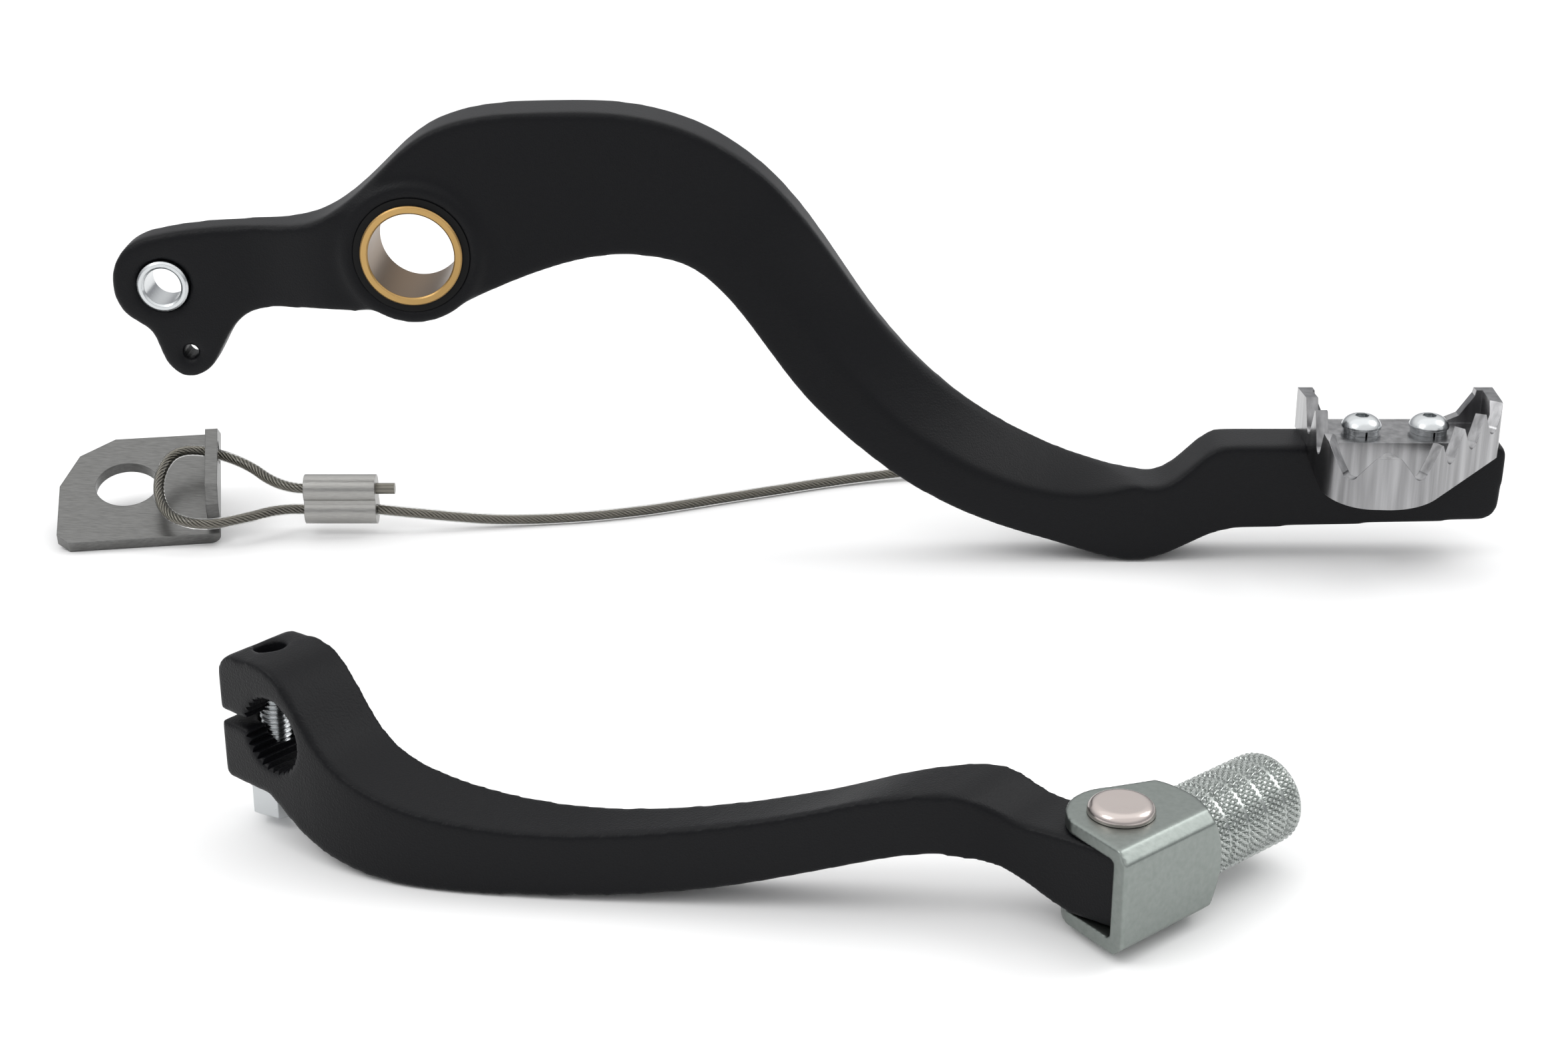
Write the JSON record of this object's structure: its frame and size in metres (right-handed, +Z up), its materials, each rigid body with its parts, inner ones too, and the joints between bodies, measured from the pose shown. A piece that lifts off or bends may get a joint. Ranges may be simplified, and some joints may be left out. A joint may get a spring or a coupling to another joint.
{
  "type": "brake and shift lever set",
  "caption": "Off-road motorcycle foot controls: rear brake pedal with serrated toe tip and safety cable, and gear shift lever with folding knurled toe peg.",
  "frame": {"origin": "middle of the pedal's pivot bore", "axes": "+X from the pivot to the pedal's toe, +Y along the pivot bore away from the rider, +Z up"},
  "size_m": [0.3499, 0.2398, 0.1095],
  "materials": {
    "black_alloy": "satin black anodised, fine blasted grain",
    "bronze": "turned",
    "seal_rubber": "matte",
    "zinc_steel": "bright zinc plate",
    "bare_alloy": "milled",
    "stainless": "brushed stainless",
    "rope": "wire rope in a clear sleeve",
    "dull_zinc": "blue-grey zinc plate",
    "rivet_steel": "polished"
  },
  "bodies": {
    "pedal": {"pedal_arm": "black_alloy", "pivot_bush": "bronze", "pivot_seals": "seal_rubber", "rod_sleeve": "zinc_steel", "toe_tip": "bare_alloy", "toe_spring_washers": "zinc_steel", "toe_screws": "zinc_steel", "anchor_ferrule": "stainless", "cable_run": "rope", "cable_tail": "rope", "cable_ferrule": "stainless", "cable_loop": "rope", "cable_tab": "stainless"},
    "shift_lever": {"shift_arm": "black_alloy", "clamp_bolt": "zinc_steel", "tip_rivet": "rivet_steel"},
    "folding_tip": {"tip_yoke": "dull_zinc", "toe_peg": "dull_zinc"}
  },
  "joints": [
    {"name": "lever_lift", "type": "slide", "parent": "pedal", "child": "shift_lever", "axis": [0, 0, 1], "range_m": [0, 0.06]},
    {"name": "tip_fold", "type": "hinge", "parent": "shift_lever", "child": "folding_tip", "pos_m": [0.14434, -0.17304, -0.0657], "axis": [0, 0, 1], "range_deg": [0, 50], "stiffness_Nm_per_rad": 0.5}
  ]
}
